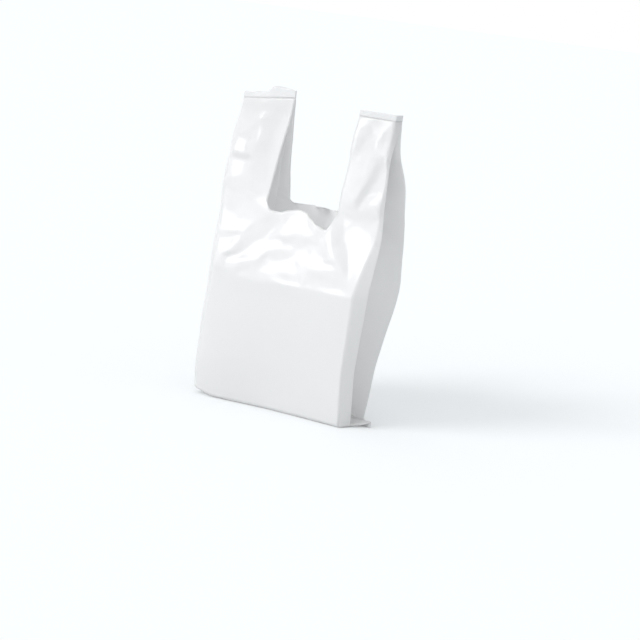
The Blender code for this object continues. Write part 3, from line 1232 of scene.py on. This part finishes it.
@dataclass(frozen=True)
class FilmFinish:
    """White glossy film: a little light comes through it, and its gloss is broken by crinkles."""

    name: str = "white_film"
    colour: Colour = (0.93, 0.93, 0.93, 1.0)
    shade: Colour = (0.91, 0.91, 0.91, 1.0)
    through: Colour = (0.98, 0.98, 0.98, 1.0)
    index: float = 1.5
    glossy: float = 0.13
    matt: float = 0.21
    crinkle_scale: float = 55.0
    crinkle_depth: float = 0.00035
    crinkle_strength: float = 0.5
    glow: float = 0.48
    weld_lines: bool = False
    rib_scale: float = 150.0
    rib_waver: float = 0.6
    rib_depth: float = 0.0003
    rib_strength: float = 0.6

    def material(self, crinkles: CrinkleGroup) -> bpy.types.Material:
        """Builds the material.

        Args:
            crinkles: The crinkle group.

        Returns:
            The finished material.
        """
        material = bpy.data.materials.new(self.name)
        material.use_nodes = True
        tree = material.node_tree
        film = added(tree, "Group", {}, node_tree=crinkles.group)
        feed(film, {"Crinkle Scale": self.crinkle_scale})
        cloud = film.outputs["Cloud"]
        tints = {"Factor": cloud, "A": self.shade, "B": self.colour}
        tint = added(tree, "Mix", tints, data_type="RGBA")
        glosses = {"Value": cloud, "To Min": self.glossy, "To Max": self.matt}
        bumps = {
            "Strength": self.crinkle_strength,
            "Distance": self.crinkle_depth,
            "Height": film.outputs["Crinkle"],
        }
        normal = added(tree, "Bump", bumps).outputs["Normal"]
        shader_inputs = {
            "IOR": self.index,
            "Base Color": tint.outputs["Result"],
            "Roughness": added(tree, "MapRange", glosses).outputs["Result"],
            "Normal": self._pressed(tree, normal) if self.weld_lines else normal,
        }
        shader = feed(tree.nodes["Principled BSDF"], shader_inputs)
        through = added(tree, "BsdfTranslucent", {"Color": self.through})
        parts = {"Fac": self.glow, 1: shader.outputs["BSDF"], 2: through.outputs["BSDF"]}
        mix = added(tree, "MixShader", parts)
        feed(tree.nodes["Material Output"], {"Surface": mix.outputs["Shader"]})
        return material

    def _pressed(
        self, tree: bpy.types.NodeTree, normal: bpy.types.NodeSocket
    ) -> bpy.types.NodeSocket:
        """Adds the ribs that the heated bar leaves in a seal.

        Args:
            tree: The material's tree.
            normal: The normal of the crinkle, which lies under them.

        Returns:
            The normal with the ribs.
        """
        place = added(tree, "TexCoord", {}).outputs["Object"]
        waves = {"Vector": place, "Scale": self.rib_scale, "Distortion": self.rib_waver}
        ribs = added(tree, "TexWave", waves, bands_direction="Z")
        bumps = {
            "Strength": self.rib_strength,
            "Distance": self.rib_depth,
            "Height": ribs.outputs["Color"],
            "Normal": normal,
        }
        return added(tree, "Bump", bumps).outputs["Normal"]


@dataclass(frozen=True)
class Lamp:
    """One far lamp: its strength, its breadth in degrees, and where it shines from."""

    name: str
    strength: float
    breadth: float
    place: Place

    def build(self) -> None:
        """Adds the lamp, turned to shine on the middle."""
        data = bpy.data.lights.new(self.name, "SUN")
        data.energy = self.strength
        data.angle = math.radians(self.breadth)
        lamp = bpy.data.objects.new(self.name, data)
        lamp.location = self.place
        lamp.rotation_euler = (-Vector(self.place)).to_track_quat("-Z", "Y").to_euler()
        bpy.context.scene.collection.objects.link(lamp)


@dataclass(frozen=True)
class Studio:
    """A pale floor, two soft lamps to the left, and the photograph's camera."""

    aim: Place = (0.0, 0.0, 0.24)
    azimuth: float = 27.27
    elevation: float = 9.72
    roll: float = 6.96
    distance: float = 2.57
    focal_px: float = 1632.0
    aim_px: Span = (306.6, 260.0)
    frame_px: float = 640.0
    sensor: float = 36.0
    floor_size: float = 60.0
    floor_colour: Colour = (0.76, 0.78, 0.79, 1.0)
    floor_roughness: float = 0.9
    floor_lift: float = 0.17
    sky: Colour = (0.81, 0.82, 0.83, 1.0)
    white: Colour = (1.0, 1.0, 1.0, 1.0)
    lamps: tuple[Lamp, ...] = (
        Lamp("broad_lamp", 0.80, 60.0, (-0.80, -1.50, 0.45)),
        Lamp("window_lamp", 1.0, 22.0, (-0.90, -1.30, 1.10)),
    )

    def camera(self) -> None:
        """Places the camera at the photograph's angle, tilt and framing."""
        turn, lift = math.radians(self.azimuth), math.radians(self.elevation)
        level = Vector((math.sin(turn), -math.cos(turn), 0)) * math.cos(lift)
        back = level + Vector((0, 0, math.sin(lift)))
        data = bpy.data.cameras.new("camera")
        data.sensor_width = self.sensor
        data.lens = self.focal_px * self.sensor / self.frame_px
        camera = bpy.data.objects.new("camera", data)
        camera.location = Vector(self.aim) + back * self.distance
        tilt = Quaternion((0, 0, 1), math.radians(self.roll))
        camera.rotation_mode = "QUATERNION"
        camera.rotation_quaternion = (-back).to_track_quat("-Z", "Y") @ tilt
        middle = self.frame_px / 2
        data.shift_x = (middle - self.aim_px[0]) / self.frame_px
        data.shift_y = (self.aim_px[1] - middle) / self.frame_px
        bpy.context.scene.collection.objects.link(camera)
        bpy.context.scene.camera = camera

    def floor(self) -> bpy.types.Object:
        """Lays a wide pale floor that shows white away from the shadow.

        Returns:
            The floor.
        """
        bpy.ops.mesh.primitive_plane_add(size=self.floor_size)
        floor = bpy.context.object
        floor.name = "floor"
        material = bpy.data.materials.new("pale_floor")
        material.use_nodes = True
        tree = material.node_tree
        rays = added(tree, "LightPath", {}).outputs
        seen = rays["Is Camera Ray"]
        for ray in (rays["Is Glossy Ray"], rays["Is Transmission Ray"]):
            either = added(tree, "Math", {0: seen, 1: ray}, operation="ADD", use_clamp=True)
            seen = either.outputs["Value"]
        amount = added(tree, "Math", {0: seen, 1: self.floor_lift}, operation="MULTIPLY")
        shader_inputs = {
            "Base Color": self.floor_colour,
            "Roughness": self.floor_roughness,
            "Specular IOR Level": 0.0,
            "Emission Color": self.white,
            "Emission Strength": amount.outputs["Value"],
        }
        feed(tree.nodes["Principled BSDF"], shader_inputs)
        floor.data.materials.append(material)
        return floor

    def light(self) -> None:
        """Adds the lamps and an even sky, which the camera sees as plain white."""
        for lamp in self.lamps:
            lamp.build()
        world = bpy.data.worlds.new("studio")
        world.use_nodes = True
        tree = world.node_tree
        sky = feed(tree.nodes["Background"], {"Color": self.sky})
        white = added(tree, "Background", {"Color": self.white})
        parts = {
            "Fac": added(tree, "LightPath", {}).outputs["Is Camera Ray"],
            1: sky.outputs["Background"],
            2: white.outputs["Background"],
        }
        seen = added(tree, "MixShader", parts)
        feed(tree.nodes["World Output"], {"Surface": seen.outputs["Shader"]})
        bpy.context.scene.world = world

    def build(self) -> None:
        """Sets up the whole studio."""
        self.camera()
        self.floor()
        self.light()
        bpy.context.scene.view_settings.view_transform = "Standard"


def main() -> None:
    """Builds the bag, dresses it, and sets up the studio."""
    logging.basicConfig(level=logging.INFO, format="%(message)s")
    bpy.ops.object.select_all(action="DESELECT")
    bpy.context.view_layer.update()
    bag = FilmBag()
    pieces = bag.build()
    crinkles = CrinkleGroup()
    film = FilmFinish().material(crinkles)
    seal = FilmFinish(
        name="welded_film",
        colour=(0.80, 0.805, 0.81, 1.0),
        shade=(0.77, 0.775, 0.78, 1.0),
        glow=0.15,
        matt=0.36,
        weld_lines=True,
    ).material(crinkles)
    for piece in pieces:
        piece.data.materials.clear()
        piece.data.materials.append(film if piece.name == "bag_film" else seal)
        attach(piece, "root")
        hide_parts("carrier_bag")
    Studio().build()


if __name__ == "__main__":
    main()
